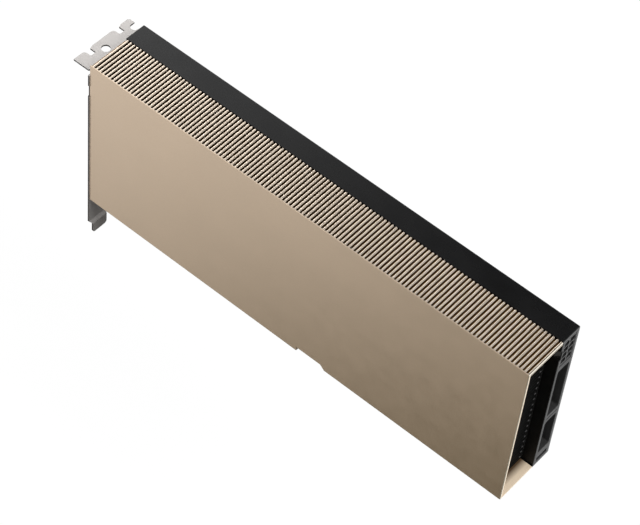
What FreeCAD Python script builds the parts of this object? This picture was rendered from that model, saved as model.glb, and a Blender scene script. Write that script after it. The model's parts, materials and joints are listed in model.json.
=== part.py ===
import FreeCAD, Part
import math
import os

# Passive accelerator card, two slots thick, upright as it stands in its slot.
# +X runs from the bracket to the power end, +Y from the front cover to the back, +Z is up.
# The origin is on the axis of the bracket tab's round hole, on the face that seats on the chassis.

# Card
CARD_LENGTH = 267.0
CARD_HEIGHT = 99.8
CARD_THICKNESS = 38.3
CLEARANCE = 0.1

# Card's place against the tab's round hole
HOLE_TO_FACE = 5.35
HOLE_FROM_FRONT = 17.7
TOP_OVER_SEAT = 6.8

# Front cover
COVER_DEPTH = 25.0
COVER_WALL = 1.2
RIBBED_WALL = 1.8
GROOVE_DEPTH = 1.2
GROOVE_WIDTH = 1.05
RIB_WIDTH = 1.12
RIB_ROUND = 0.35
RIB_LIP = 0.4
END_LIP = 1.1
END_RIM = 0.4
END_GROOVE_WIDTH = 0.3
END_GROOVE_DEPTH = 0.4
EDGE_ROUND = 0.5
TOP_EDGE_ROUND = 0.15
END_CHAMFER = 0.3
RELIEF_START = 139.5
RELIEF_FLAT = 15.5
RELIEF_SLOPE = 3.0
RELIEF_DEPTH = 2.9
SKIRT_REACH = 3.5
SKIRT_ROOT = 1.5
SKIRT_THICKNESS = 1.2
SKIRT_END_GAP = 1.5

# Back cover
SEAM = 0.3
BACK_WALL = 1.2
BACK_ROUND = 0.8
BOSS_RADIUS = 3.0

# Slot bracket
SHEET = 0.95
BEND_INSIDE = 0.5
SLOT_PITCH = 20.32
SLOT_WIDTH = 18.42
BRACKET_HEIGHT = 120.02
PLATE_PROUD = 0.45
PLATE_RELIEF = 2.5
PLATE_EAR_DROP = 0.3
RELIEF_SLOT = 0.8
EDGE_NOTCH_TOP = 7.7
EDGE_NOTCH_LENGTH = 7.5
EDGE_NOTCH_DEPTH = 0.6
TAB_DEPTH = 11.43
TAB_AFTER_FRONT = 1.55
TAB_HOLE_RADIUS = 2.4
TAB_CORNER = 1.0
NOTCH_FLOOR_TO_EDGE = 4.35
NOTCH_WALL_TO_HOLE = 5.3
NOTCH_WIDTH = 3.4
NOTCH_ROUND = 1.9
NOTCH_FLOOR_ROUND = 0.9
NOTCH_CHAMFER = 2.0
SCREW_NOTCH_WIDTH = 4.42
TONGUE_WIDTH = 10.19
TONGUE_INSET = 2.0
TONGUE_LENGTH = 7.2
TONGUE_ROUND = 1.8
TONGUE_STEP = 1.0
TONGUE_STEP_RISE = 2.5
VENT_FLATS = 5.0
VENT_WEB = 1.2
VENT_MARGIN_SIDE = 3.0
VENT_MARGIN_END = 7.0
LUG_LENGTH = 9.5
LUG_WIDTH = 9.0
LUG_INSET = 9.0
LUG_HOLE_FROM_PLATE = 5.5

# Circuit board
BOARD_THICKNESS = 1.57
BOARD_BACK_GAP = 1.43
BOARD_MARGIN = 0.5
KEY_FROM_FACE = 59.05
KEY_WIDTH = 1.9
KEY_DEPTH = 8.0
CONTACTS_BEFORE_KEY = 11
CONTACTS_AFTER_KEY = 71
CONTACT_PITCH = 1.0
CONTACT_WIDTH = 0.7
CONTACT_LENGTH = 5.6
CONTACT_RISE = 0.7
CONTACT_THICKNESS = 0.05
CONTACT_MARGIN = 0.65
EDGE_DROP = 11.35
EDGE_HEIGHT = 8.25
EDGE_CHAMFER = 1.0
EDGE_BEVEL = 0.4
APRON_BEFORE_EDGE = 4.0
HOOK_GAP = 3.6
HOOK_WIDTH = 5.2
HOOK_BARB = 1.2
HOOK_DROP = 6.5

# Processors and what stands beside them on the board
PROCESSORS = 4
BAYS_START = 9.0
BAYS_END_GAP = 8.0
PROCESSOR_HEIGHT_SHARE = 0.52
SUBSTRATE_SIZE = 29.0
SUBSTRATE_THICKNESS = 1.2
DIE_LENGTH = 18.0
DIE_WIDTH = 14.0
DIE_THICKNESS = 0.8
MEMORY_WIDTH = 12.0
MEMORY_HEIGHT = 14.0
MEMORY_THICKNESS = 1.1
MEMORY_SIDE = 8.0
MEMORY_RISE = 24.0
CHOKE_SIZE = 7.0
CHOKE_THICKNESS = 5.5
STAGE_SIZE = 5.0
STAGE_THICKNESS = 0.9
STAGES = 4
STAGE_PITCH_SHARE = 0.095
STAGE_START_SHARE = 0.385
CAN_RADIUS = 3.15
CAN_HEIGHT = 5.8
CAN_START_SHARE = 0.756
CAN_PITCH_SHARE = 0.08
CANS = 2
BRIDGE_SIZE = 16.0
BRIDGE_THICKNESS = 2.0
PAD_THICKNESS = 0.9

# Heat sink
BASE_THICKNESS = 2.5
BASE_START = 10.0
BASE_MARGIN = 3.2
LAND_WIDTH = 33.0
LAND_HEIGHT = 64.0
POST_RADIUS = 2.5
SPRING_POST_SHARE = 0.34
SPRING_POST_RISE = 21.0
FIN_PITCH = 1.43
FIN_THICKNESS = 0.4
FIN_SOLE = 0.8
FIN_TIP_GAP = 0.4
FIN_MARGIN = 1.7
FIN_INLET = 6.5
FIN_RELIEF_GAP = 0.5

# Rear frame and power header
FRAME_LENGTH = 14.0
FRAME_FROM_COVER = 0.7
FRAME_INNER_WALL = 1.5
FRAME_OUTER_WALL = 0.9
FRAME_TOP_WALL = 0.9
FRAME_WINDOW_ROUND = 1.2
HEADER_BAR = 3.2
HEADER_BAY = 19.0
MIDDLE_BAR_RISE = 35.0
MIDDLE_BAR = 5.0
LOWER_BAR_RISE = 6.0
LOWER_BAR = 4.0
BOTTOM_SLOT_RISE = 2.6
BOTTOM_SLOT_SETBACK = 0.4
BAR_GROOVE = 1.0
BAR_GROOVE_DEPTH = 3.0
LATCH_NOTCH_WIDTH = 7.2
LATCH_ROOM = 1.5
HEADER_LENGTH = 12.8
HEADER_SETBACK = 0.2
HEADER_POSITIONS = 4
HEADER_PITCH = 4.2
HEADER_END_WALL = 0.7
HEADER_THICKNESS = 8.7
SOCKET_SIZE = 3.5
SOCKET_DEPTH = 9.0
SOCKET_CHAMFER = 1.0
PIN_SIZE = 1.1
PIN_RECESS = 2.5
PIN_TAIL_STEP = 4.2
PIN_TAIL_GAP = 2.0
PIN_TAIL_PROUD = 0.8
PIN_HOLE_RADIUS = 0.85
LATCH_WIDTH = 3.4
LATCH_HEIGHT = 2.0
LATCH_LENGTH = 3.0
LATCH_FLAT = 1.0
LATCH_FROM_FACE = 0.7

# Fasteners
BACK_SCREW_INSET_SIDE = 7.0
BACK_SCREW_INSET_RISE = 7.5
BACK_SCREW_RADIUS = 1.0
BACK_SCREW_HEAD = 2.1
BACK_SCREW_GRIP = 5.0
COVER_SCREW_RADIUS = 0.8
COVER_SCREW_HEAD = 1.6
COVER_SCREW_INSET_START = 18.0
COVER_SCREW_INSET_END = 8.0
BRACKET_SCREW_RADIUS = 1.45
BRACKET_SCREW_HEAD = 2.5
SPRING_SCREW_RADIUS = 0.95
SPRING_SCREW_HEAD = 2.2
SPRING_SCREW_GRIP = 4.0
FLAT_HEAD = 0.75
SPRING_THICKNESS = 0.4
SPRING_ARM = 6.0
SPRING_CENTRE = 8.0
HOLE_CLEARANCE = 0.3
SHEET_FILM = 0.25
FILM_MARGIN = 2.0

# Planes of the card
X0 = HOLE_TO_FACE + SHEET
X1 = X0 + CARD_LENGTH
Y0 = -HOLE_FROM_FRONT
Y1 = Y0 + CARD_THICKNESS
Z1 = TOP_OVER_SEAT
Z0 = Z1 - CARD_HEIGHT
Y_COVER = Y0 + COVER_DEPTH
Y_STRIP = Y_COVER + SEAM
Y_BACK_IN = Y1 - BACK_WALL
X_FRAME = X1 - FRAME_LENGTH

# Planes and edges of the bracket
PLATE_Y0 = Y0 - PLATE_PROUD
PLATE_Y1 = PLATE_Y0 + SLOT_WIDTH + SLOT_PITCH
BEND_X = HOLE_TO_FACE - BEND_INSIDE
BEND_Y0 = Y0 + TAB_AFTER_FRONT + PLATE_RELIEF / 2
BEND_Y1 = PLATE_Y1 - PLATE_RELIEF / 2
TIP_Z = -BRACKET_HEIGHT
SHOULDER_Z = TIP_Z + TONGUE_LENGTH + TONGUE_STEP_RISE

# Planes and edges of the board
BOARD_BACK = Y_BACK_IN - BOARD_BACK_GAP
BOARD_FRONT = BOARD_BACK - BOARD_THICKNESS
BOARD_X0 = X0 + BOARD_MARGIN
BOARD_X1 = X_FRAME - BOARD_MARGIN
BOARD_Z0 = Z0 + BACK_WALL + BOARD_MARGIN
BOARD_Z1 = Z1 - BACK_WALL - BOARD_MARGIN
KEY_X = HOLE_TO_FACE + KEY_FROM_FACE
EDGE_X0 = KEY_X - KEY_WIDTH / 2 - CONTACTS_BEFORE_KEY * CONTACT_PITCH - CONTACT_MARGIN
EDGE_X1 = KEY_X + KEY_WIDTH / 2 + CONTACTS_AFTER_KEY * CONTACT_PITCH + CONTACT_MARGIN
EDGE_Z = Z0 - EDGE_DROP
APRON_Z = EDGE_Z + EDGE_HEIGHT
HOOK_X0 = EDGE_X1 + HOOK_GAP
HOOK_X1 = HOOK_X0 + HOOK_WIDTH
RELIEF_X0 = X0 + RELIEF_START
RELIEF_X1 = RELIEF_X0 + RELIEF_FLAT + RELIEF_SLOPE

# Planes of the heat sink
BASE_FRONT = Y_COVER + CLEARANCE
BASE_BACK = BASE_FRONT + BASE_THICKNESS
BASE_X0 = X0 + BASE_START
BASE_X1 = X_FRAME - BOARD_MARGIN
BASE_Z0 = Z0 + COVER_WALL + BASE_MARGIN
BASE_Z1 = Z1 - COVER_WALL - BASE_MARGIN
LAND_FACE = BOARD_FRONT - SUBSTRATE_THICKNESS - DIE_THICKNESS

# Processor bays along the board
BAYS_X0 = X0 + BAYS_START
BAY = (BASE_X1 - BAYS_END_GAP - BAYS_X0) / PROCESSORS
PROCESSOR_XS = [BAYS_X0 + BAY * (k + 0.5) for k in range(PROCESSORS)]
PROCESSOR_Z = Z0 + CARD_HEIGHT * PROCESSOR_HEIGHT_SHARE
SPRING_POST_SIDE = BAY * SPRING_POST_SHARE
CHOKE_OFFSET = (BAY - STAGE_SIZE) / 2
STAGE_OFFSET = CHOKE_OFFSET + (CHOKE_SIZE + STAGE_SIZE) / 2 + CLEARANCE
STAGE_ZS = [Z0 + CARD_HEIGHT * (STAGE_START_SHARE + STAGE_PITCH_SHARE * k) for k in range(STAGES)]
CAN_ZS = [Z0 + CARD_HEIGHT * (CAN_START_SHARE + CAN_PITCH_SHARE * k) for k in range(CANS)]
BRIDGE_X = BAYS_X0 + BAY * PROCESSORS / 2
BRIDGE_Z = Z0 + BACK_SCREW_INSET_RISE + POST_RADIUS + HOLE_CLEARANCE + BRIDGE_SIZE / 2

# Places of the power header
HEADER_X1 = X1 - HEADER_SETBACK
HEADER_X0 = HEADER_X1 - HEADER_LENGTH
FRAME_Y0 = Y_COVER + FRAME_FROM_COVER
FRAME_Y1 = Y_BACK_IN - CLEARANCE
BAY_Y0 = FRAME_Y0 + FRAME_INNER_WALL
BAY_Y1 = FRAME_Y1 - FRAME_OUTER_WALL
BAY_Z1 = Z1 - BACK_WALL - CLEARANCE - FRAME_TOP_WALL
BAY_Z0 = BAY_Z1 - HEADER_BAY
HEADER_Y = (BAY_Y0 + BAY_Y1) / 2
HEADER_HEIGHT = HEADER_POSITIONS * HEADER_PITCH + 2 * HEADER_END_WALL
HEADER_Z1 = BAY_Z1 - CLEARANCE
HEADER_Z = HEADER_Z1 - HEADER_HEIGHT / 2
LATCH_X0 = HEADER_X1 - LATCH_FROM_FACE - LATCH_LENGTH
SOCKET_YS = [HEADER_Y - HEADER_PITCH / 2, HEADER_Y + HEADER_PITCH / 2]
SOCKET_ZS = [HEADER_Z + HEADER_PITCH * (k - (HEADER_POSITIONS - 1) / 2) for k in range(HEADER_POSITIONS)]
TAIL_XS = [BOARD_X1 - PIN_TAIL_GAP - PIN_TAIL_STEP, BOARD_X1 - PIN_TAIL_GAP]

# Places of the fasteners
BACK_SCREW_XS = (
    [BASE_X0 + BACK_SCREW_INSET_SIDE]
    + [BAYS_X0 + BAY * k for k in range(1, PROCESSORS)]
    + [BAYS_X0 + BAY * PROCESSORS - BACK_SCREW_INSET_SIDE]
)
BACK_SCREW_ZS = [Z0 + BACK_SCREW_INSET_RISE, Z1 - BACK_SCREW_INSET_RISE]
FRAME_SCREW_X = X_FRAME + FRAME_LENGTH / 2
FRAME_SCREW_ZS = [Z0 + LOWER_BAR_RISE + LOWER_BAR / 2, Z0 + MIDDLE_BAR_RISE + MIDDLE_BAR / 2]
COVER_SCREW_Y = Y_STRIP + SKIRT_REACH / 2
COVER_SCREW_XS = [X0 + COVER_SCREW_INSET_START, (RELIEF_X1 + BASE_X1) / 2, BASE_X1 - COVER_SCREW_INSET_END]
LUG_ZS = [Z0 + LUG_INSET + LUG_WIDTH / 2, Z1 - 2 * LUG_INSET - LUG_WIDTH / 2]


def vector(plane, at, a, b):
    """A point given by its two coordinates in a plane square to x, y or z."""
    if plane == "x":
        return FreeCAD.Vector(at, a, b)
    if plane == "y":
        return FreeCAD.Vector(a, at, b)
    return FreeCAD.Vector(a, b, at)


def prism(plane, outline, start, end):
    """Extrude a closed outline of points, and of (middle, end) pairs for its arcs."""
    first = vector(plane, start, *outline[0])
    here = first
    edges = []
    for step in outline[1:] + [outline[0]]:
        if isinstance(step[0], tuple):
            middle, stop = (vector(plane, start, *point) for point in step)
            edges.append(Part.Arc(here, middle, stop).toShape())
        else:
            stop = vector(plane, start, *step)
            if not stop.isEqual(here, 1e-6):
                edges.append(Part.LineSegment(here, stop).toShape())
        here = stop
    return Part.Face(Part.Wire(edges)).extrude(vector(plane, end - start, 0, 0))


def block(xs, ys, zs):
    """A block between two x, two y and two z values."""
    corner = FreeCAD.Vector(xs[0], ys[0], zs[0])
    return Part.makeBox(xs[1] - xs[0], ys[1] - ys[0], zs[1] - zs[0], corner)


def around(centre, size):
    """The two ends of a span about its centre."""
    return centre - size / 2, centre + size / 2


def rod(axis, radius, a, b, start, end):
    """A cylinder along x, y or z."""
    length = abs(end - start)
    direction = vector(axis, math.copysign(1, end - start), 0, 0)
    return Part.makeCylinder(radius, length, vector(axis, start, a, b), direction)


def arc(centre, radius, first, last):
    """The (middle, end) pair of an arc between two angles in degrees."""
    def at(angle):
        turn = math.radians(angle)
        return centre[0] + radius * math.cos(turn), centre[1] + radius * math.sin(turn)
    return at((first + last) / 2), at(last)


def rounded_rectangle(a, b, radius):
    """An outline between two a and two b values with round corners."""
    outline = [(a[0] + radius, b[0]), (a[1] - radius, b[0])]
    outline.append(arc((a[1] - radius, b[0] + radius), radius, -90, 0))
    outline.append((a[1], b[1] - radius))
    outline.append(arc((a[1] - radius, b[1] - radius), radius, 0, 90))
    outline.append((a[0] + radius, b[1]))
    outline.append(arc((a[0] + radius, b[1] - radius), radius, 90, 180))
    outline.append((a[0], b[0] + radius))
    outline.append(arc((a[0] + radius, b[0] + radius), radius, 180, 270))
    return outline


def turned(axis, profile, a, b, start, way):
    """A solid of revolution from (radius, distance) points, with distance running from start."""
    points = [vector(axis, start + way * distance, a + radius, b) for radius, distance in profile]
    face = Part.Face(Part.makePolygon(points + [points[0]]))
    return face.revolve(vector(axis, start, a, b), vector(axis, 1, 0, 0), 360)


def joined(shapes):
    """One solid from shapes that touch, with the seams between their faces removed."""
    return shapes[0].fuse(shapes[1:]).removeSplitter()


# Front cover

def rib_comb():
    """Ribs and end lips of the top wall: a comb seen from above, with its teeth rounded along their length."""
    pitch = GROOVE_WIDTH + RIB_WIDTH
    count = int((CARD_LENGTH - END_LIP - GROOVE_WIDTH) / pitch)
    root = Y0 + RIB_LIP + GROOVE_WIDTH / 2
    tip = Y_COVER - RIB_WIDTH / 2
    grooves = [X0 + pitch * k for k in range(count + 1)]
    outline = [(X0, Y0), (X1, Y0), (X1, Y_COVER), (grooves[-1] + GROOVE_WIDTH, Y_COVER)]
    for start in reversed(grooves[1:]):
        rib = start - RIB_WIDTH
        outline.append((start + GROOVE_WIDTH, root))
        outline.append(arc((start + GROOVE_WIDTH / 2, root), GROOVE_WIDTH / 2, 360, 180))
        outline.append((start, tip))
        outline.append(arc((rib + RIB_WIDTH / 2, tip), RIB_WIDTH / 2, 0, 180))
    outline += [(grooves[0] + GROOVE_WIDTH, Y0 + RIB_LIP), (X0, Y0 + RIB_LIP)]
    comb = prism("z", outline, Z1 - GROOVE_DEPTH, Z1)
    front_top = [edge for edge in comb.Edges
                 if edge.BoundBox.YMax < Y0 + RIB_LIP / 2 and edge.BoundBox.ZMin > Z1 - GROOVE_DEPTH / 2]
    comb = comb.makeFillet(TOP_EDGE_ROUND, front_top)
    end_groove = block((X1 - END_RIM - END_GROOVE_WIDTH, X1 - END_RIM), (Y0 + RIB_LIP, Y_COVER + CLEARANCE),
                       (Z1 - END_GROOVE_DEPTH, Z1 + CLEARANCE))
    return comb.cut([rib_rounding(start, root) for start in grooves] + [end_groove])


def rib_rounding(start, root):
    """What comes off the edges of the two ribs beside a groove."""
    end = start + GROOVE_WIDTH
    low = Z1 - RIB_ROUND
    outline = [(start, low), arc((start - RIB_ROUND, low), RIB_ROUND, 0, 90), (start - RIB_ROUND, Z1 + CLEARANCE),
               (end + RIB_ROUND, Z1 + CLEARANCE), (end + RIB_ROUND, Z1),
               arc((end + RIB_ROUND, low), RIB_ROUND, 90, 180)]
    return prism("y", outline, root, Y_COVER + CLEARANCE)


def relief_outline(grow, base):
    """Latch relief in the lower edge, seen from the front, grown by a wall."""
    top = Z0 + RELIEF_DEPTH + grow
    slope_top = RELIEF_X0 + RELIEF_FLAT + grow
    return [(RELIEF_X0 - grow, base), (RELIEF_X0 - grow, top), (slope_top, top),
            (RELIEF_X1 + grow, Z0), (RELIEF_X1 + grow, base)]


def skirts():
    """Inner edges of the cover that reach in under the back cover's flanges."""
    ys = (Y_COVER - SKIRT_ROOT, Y_STRIP + SKIRT_REACH)
    xs = (X0 + SKIRT_END_GAP, BASE_X1)
    low = Z0 + BACK_WALL + CLEARANCE
    high = Z1 - BACK_WALL - CLEARANCE
    lower_spans = [(xs[0], EDGE_X0 - APRON_BEFORE_EDGE), (RELIEF_X1 + COVER_WALL, xs[1])]
    lower = [block(span, ys, (low, low + SKIRT_THICKNESS)) for span in lower_spans]
    lower += [block(span, (ys[0], Y_COVER), (Z0 + COVER_WALL / 2, low)) for span in lower_spans]
    upper = block(xs, ys, (high - SKIRT_THICKNESS, high))
    holes = [rod("z", COVER_SCREW_RADIUS + CLEARANCE / 2, x, COVER_SCREW_Y, Z0, low + SKIRT_THICKNESS)
             for x in COVER_SCREW_XS]
    return [shape.cut(holes) for shape in lower] + [upper]


def front_cover():
    wall_top = Z1 - GROOVE_DEPTH
    profile = [
        (Y_COVER, Z0), (Y0 + EDGE_ROUND, Z0),
        arc((Y0 + EDGE_ROUND, Z0 + EDGE_ROUND), EDGE_ROUND, 270, 180),
        (Y0, wall_top), (Y_COVER, wall_top), (Y_COVER, Z1 - RIBBED_WALL),
        (Y0 + COVER_WALL, Z1 - RIBBED_WALL), (Y0 + COVER_WALL, Z0 + COVER_WALL),
        (Y_COVER, Z0 + COVER_WALL),
    ]
    shell = prism("x", profile, X0, X1)
    pad = prism("y", relief_outline(COVER_WALL, Z0), Y0 + COVER_WALL / 2, Y_COVER)
    relief = prism("y", relief_outline(0, Z0 - COVER_WALL), Y0 - COVER_WALL, Y_COVER + COVER_WALL)
    body = joined([shell, rib_comb(), pad] + skirts()).cut(relief)
    return body.makeChamfer(END_CHAMFER, [edge for edge in body.Edges if on_end_rim(edge, Y0, Y_COVER)])


def on_end_rim(edge, front, back):
    """Whether an edge of a cover is on the outer rim of its power end, and not on the seam at front or back."""
    box = edge.BoundBox
    outside = (box.ZMax > Z1 - CLEARANCE or box.ZMin < Z0 + CLEARANCE
               or box.YMin < Y0 + CLEARANCE or box.YMax > Y1 - CLEARANCE)
    return outside and box.XMin > X1 - CLEARANCE and box.YMin < back - CLEARANCE and box.YMax > front + CLEARANCE


# Back cover

def back_cover():
    profile = [
        (Y_STRIP, Z1), (Y1 - BACK_ROUND, Z1),
        arc((Y1 - BACK_ROUND, Z1 - BACK_ROUND), BACK_ROUND, 90, 0),
        (Y1, Z0 + BACK_ROUND),
        arc((Y1 - BACK_ROUND, Z0 + BACK_ROUND), BACK_ROUND, 0, -90),
        (Y_STRIP, Z0), (Y_STRIP, Z0 + BACK_WALL), (Y_BACK_IN, Z0 + BACK_WALL),
        (Y_BACK_IN, Z1 - BACK_WALL), (Y_STRIP, Z1 - BACK_WALL),
    ]
    shell = prism("x", profile, X0, X1)
    bosses = [rod("y", BOSS_RADIUS, x, z, BOARD_BACK, Y_BACK_IN + BACK_WALL / 2)
              for x in BACK_SCREW_XS for z in BACK_SCREW_ZS]
    edge_slot = block(
        (EDGE_X0 - APRON_BEFORE_EDGE - BOARD_MARGIN, HOOK_X1 + BOARD_MARGIN),
        (BOARD_FRONT - BOARD_MARGIN, BOARD_BACK + BOARD_MARGIN),
        (Z0 - BACK_WALL, Z0 + 2 * BACK_WALL),
    )
    relief = prism("y", relief_outline(0, Z0 - BACK_WALL), Y_STRIP - BACK_WALL, Y1 + BACK_WALL)
    sinks = [countersink("y", x, z, Y1, -1, BACK_SCREW_RADIUS, BACK_SCREW_HEAD, BOARD_BACK_GAP + 2 * BACK_WALL)
             for x, z in back_screw_places()]
    sinks += [countersink("z", x, COVER_SCREW_Y, Z0, 1, COVER_SCREW_RADIUS, COVER_SCREW_HEAD, 2 * BACK_WALL)
              for x in COVER_SCREW_XS]
    body = joined([shell] + bosses).cut([edge_slot, relief] + sinks)
    return body.makeChamfer(END_CHAMFER, [edge for edge in body.Edges if on_end_rim(edge, Y_STRIP, Y1 + BACK_WALL)])


# Rear frame and power header

def frame_window(z0, z1):
    outline = rounded_rectangle((BAY_Y0, BAY_Y1), (z0, z1), FRAME_WINDOW_ROUND)
    return prism("x", outline, X_FRAME - FRAME_LENGTH, X1 + FRAME_LENGTH)


def rear_frame():
    body = block((X_FRAME, X1), (FRAME_Y0, FRAME_Y1), (Z0 + BACK_WALL + CLEARANCE, Z1 - BACK_WALL - CLEARANCE))
    lower_window = (Z0 + LOWER_BAR_RISE + LOWER_BAR, Z0 + MIDDLE_BAR_RISE)
    upper_window = (Z0 + MIDDLE_BAR_RISE + MIDDLE_BAR, BAY_Z0 - HEADER_BAR)
    header_bay = block((X_FRAME - CLEARANCE, X1 + CLEARANCE), (BAY_Y0, BAY_Y1), (BAY_Z0, BAY_Z1))
    slot_ys = (BAY_Y0 + BOTTOM_SLOT_SETBACK, BAY_Y1 - BOTTOM_SLOT_SETBACK)
    bottom_slot = block((X1 - BAR_GROOVE_DEPTH, X1 + CLEARANCE), slot_ys,
                        (Z0 + BOTTOM_SLOT_RISE, Z0 + LOWER_BAR_RISE))
    bar_groove = block((X1 - BAR_GROOVE_DEPTH, X1 + CLEARANCE), slot_ys,
                       around(Z0 + MIDDLE_BAR_RISE + MIDDLE_BAR / 2, BAR_GROOVE))
    latch_notch = block((LATCH_X0 - LATCH_ROOM, X1 + CLEARANCE), (FRAME_Y0 - CLEARANCE, BAY_Y0 + CLEARANCE),
                        around(HEADER_Z, LATCH_NOTCH_WIDTH))
    holes = [rod("y", BACK_SCREW_RADIUS + CLEARANCE / 2, FRAME_SCREW_X, z, FRAME_Y1 + CLEARANCE,
                 FRAME_Y1 - BACK_SCREW_GRIP) for z in FRAME_SCREW_ZS]
    windows = [frame_window(*lower_window), frame_window(*upper_window)]
    return body.cut(windows + [header_bay, bottom_slot, bar_groove, latch_notch] + holes)


def socket(y, z, keyed):
    """A square socket, with two corners cut where the plug is keyed."""
    half = SOCKET_SIZE / 2
    cut = SOCKET_CHAMFER if keyed else 0
    outline = [(y - half, z - half), (y + half, z - half), (y + half, z + half - cut),
               (y + half - cut, z + half), (y - half + cut, z + half), (y - half, z + half - cut)]
    return prism("x", outline, HEADER_X1 - SOCKET_DEPTH, HEADER_X1 + CLEARANCE)


def power_header():
    ys = around(HEADER_Y, HEADER_THICKNESS)
    body = block((HEADER_X0, HEADER_X1), ys, around(HEADER_Z, HEADER_HEIGHT))
    latch = prism("z", [(LATCH_X0 + LATCH_LENGTH, ys[0]), (LATCH_X0, ys[0]), (LATCH_X0, ys[0] - LATCH_HEIGHT),
                        (LATCH_X0 + LATCH_FLAT, ys[0] - LATCH_HEIGHT)], *around(HEADER_Z, LATCH_WIDTH))
    sockets = [socket(y, z, (row + k) % 2 == 1)
               for row, y in enumerate(SOCKET_YS) for k, z in enumerate(SOCKET_ZS)]
    pin_holes = [block((HEADER_X0 - CLEARANCE, HEADER_X1 - SOCKET_DEPTH + CLEARANCE),
                       around(y, PIN_SIZE), around(z, PIN_SIZE))
                 for y in SOCKET_YS for z in SOCKET_ZS]
    return joined([body, latch]).cut(sockets + pin_holes)


def header_pins():
    half = PIN_SIZE / 2
    front = HEADER_X1 - PIN_RECESS
    end = BOARD_BACK + PIN_TAIL_PROUD
    pins = []
    for y, tail in zip(SOCKET_YS, TAIL_XS):
        over_board = min(y + half, BOARD_FRONT - CLEARANCE)
        outline = [(front, y - half / 2), (front, y + half / 2), (front - half, y + half),
                   (HEADER_X0, y + half), (HEADER_X0, over_board), (tail + half, over_board),
                   (tail + half, end), (tail - half, end), (tail - half, y - half), (front - half, y - half)]
        pins += [prism("z", outline, z - half, z + half) for z in SOCKET_ZS]
    return Part.makeCompound(pins)


# Slot bracket

def tab_outline():
    """Tab from above: two edge notches, and a side notch for the retaining screw."""
    edge = HOLE_TO_FACE - TAB_DEPTH
    floor = edge + NOTCH_FLOOR_TO_EDGE
    front = Y0 + TAB_AFTER_FRONT
    back = front + SLOT_WIDTH + SLOT_PITCH
    outline = [(BEND_X, BEND_Y0), (BEND_X - PLATE_RELIEF / 2, front), (edge, front)]
    for wall in (-NOTCH_WALL_TO_HOLE, SLOT_PITCH - NOTCH_WALL_TO_HOLE):
        near = wall - NOTCH_WIDTH
        outline.append((edge, near - NOTCH_ROUND))
        outline.append(arc((edge + NOTCH_ROUND, near - NOTCH_ROUND), NOTCH_ROUND, 180, 90))
        outline.append((floor - NOTCH_FLOOR_ROUND, near))
        outline.append(arc((floor - NOTCH_FLOOR_ROUND, near + NOTCH_FLOOR_ROUND), NOTCH_FLOOR_ROUND, -90, 0))
        outline.append((floor, wall))
        outline.append((edge + NOTCH_CHAMFER / 3, wall))
        outline.append((edge, wall + NOTCH_CHAMFER))
    outline += [(edge, back - TAB_CORNER), (edge + TAB_CORNER, back)]
    half = SCREW_NOTCH_WIDTH / 2
    outline += [(-half, back), (-half, SLOT_PITCH), arc((0, SLOT_PITCH), half, 180, 360)]
    outline += [(half, PLATE_Y1), (BEND_X - PLATE_RELIEF / 2, PLATE_Y1), (BEND_X, BEND_Y1)]
    return outline


def plate_outline():
    """Face plate from the card's side: two tongues below, a bend between two reliefs above."""
    notch_y = PLATE_Y0 + EDGE_NOTCH_DEPTH
    notch_z0 = -EDGE_NOTCH_TOP - EDGE_NOTCH_LENGTH
    ear_y = BEND_Y0 - RELIEF_SLOT
    outline = [(ear_y, -PLATE_RELIEF), (ear_y, -PLATE_EAR_DROP), (PLATE_Y0, -PLATE_EAR_DROP),
               (PLATE_Y0, -EDGE_NOTCH_TOP), (notch_y, -EDGE_NOTCH_TOP - EDGE_NOTCH_DEPTH),
               (notch_y, notch_z0 + EDGE_NOTCH_DEPTH), (PLATE_Y0, notch_z0), (PLATE_Y0, SHOULDER_Z)]
    for k in range(2):
        a = PLATE_Y0 + TONGUE_INSET + SLOT_PITCH * k
        b = a + TONGUE_WIDTH
        if k:
            outline.append((a - TONGUE_INSET, SHOULDER_Z))
        outline += [(a, SHOULDER_Z - TONGUE_STEP_RISE), (a, TIP_Z + TONGUE_ROUND),
                    arc((a + TONGUE_ROUND, TIP_Z + TONGUE_ROUND), TONGUE_ROUND, 180, 270),
                    (b - TONGUE_ROUND, TIP_Z),
                    arc((b - TONGUE_ROUND, TIP_Z + TONGUE_ROUND), TONGUE_ROUND, 270, 360), (b, SHOULDER_Z)]
    outline += [(PLATE_Y1, SHOULDER_Z), (PLATE_Y1, -PLATE_RELIEF), (BEND_Y1, -PLATE_RELIEF)]
    outline += [(BEND_Y1, -BEND_INSIDE), (BEND_Y0, -BEND_INSIDE), (BEND_Y0, -PLATE_RELIEF)]
    return outline


def plate_sheet():
    """Bent sheet that the face plate is cut from: its tongues step in by about their thickness."""
    step_z = SHOULDER_Z - TONGUE_STEP_RISE
    outline = [(X0, -PLATE_EAR_DROP), (X0, SHOULDER_Z), (X0 + TONGUE_STEP, step_z), (X0 + TONGUE_STEP, TIP_Z),
               (HOLE_TO_FACE + TONGUE_STEP, TIP_Z), (HOLE_TO_FACE + TONGUE_STEP, step_z),
               (HOLE_TO_FACE, SHOULDER_Z), (HOLE_TO_FACE, -PLATE_EAR_DROP)]
    return prism("y", outline, PLATE_Y0, PLATE_Y1)


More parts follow.
